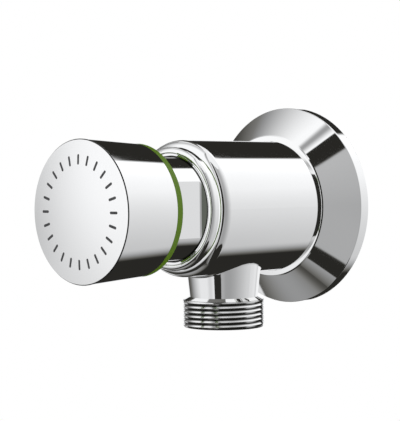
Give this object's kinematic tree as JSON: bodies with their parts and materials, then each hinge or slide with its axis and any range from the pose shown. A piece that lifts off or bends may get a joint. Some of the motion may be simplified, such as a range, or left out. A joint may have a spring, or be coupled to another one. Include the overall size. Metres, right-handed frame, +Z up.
{
  "type": "urinal flush valve",
  "caption": "Wall-mounted time-delay urinal flush valve: axial inlet behind a sliding conical flange, push button in front, threaded outlet pointing down.",
  "frame": {"origin": "on the valve's axis, in the plane of the finished wall, where the inlet tail goes into it", "axes": "-Y forward along the valve's axis to the button, +Y into the wall, +Z up, outlet along -Z"},
  "size_m": [0.0656, 0.1116, 0.0712],
  "materials": {
    "polished_chrome": "bright chrome plate on brass, mirror polished",
    "green_plastic": "moulded green plastic, lightly glossy",
    "stainless_steel": "turned or drawn stainless steel",
    "machined_brass": "turned brass, uncoated",
    "black_rubber": "smooth black nitrile rubber",
    "white_plastic": "moulded white acetal"
  },
  "bodies": {
    "body": {"valve_body": "polished_chrome", "head": "polished_chrome", "inlet_strainer": "stainless_steel", "seat_ring": "stainless_steel", "spring_washer": "stainless_steel", "rod_clip": "stainless_steel", "return_spring": "stainless_steel", "head_o_ring": "black_rubber", "cage_o_ring": "black_rubber", "rod_seal": "black_rubber", "valve_cage": "machined_brass", "rod_guide_bush": "white_plastic"},
    "plunger": {"push_button": "polished_chrome", "button_ring": "green_plastic", "button_insert": "machined_brass", "rod_lock_nut": "stainless_steel", "plunger_rod": "stainless_steel", "piston": "white_plastic", "piston_seal": "black_rubber", "piston_clips": "stainless_steel", "bleed_jet": "machined_brass", "valve_disc": "machined_brass", "disc_washer": "black_rubber", "disc_nut": "stainless_steel"},
    "flange": {"wall_flange": "polished_chrome", "flange_grip_ring": "black_rubber"}
  },
  "joints": [
    {"name": "button_push", "type": "slide", "parent": "body", "child": "plunger", "axis": [0, 1, 0], "range_m": [0, 0.006], "stiffness_N_per_m": 1500, "springref_m": -0.008, "deforming": ["return_spring"]},
    {"name": "flange_slide", "type": "slide", "parent": "body", "child": "flange", "axis": [0, -1, 0], "range_m": [0, 0.0075]}
  ]
}
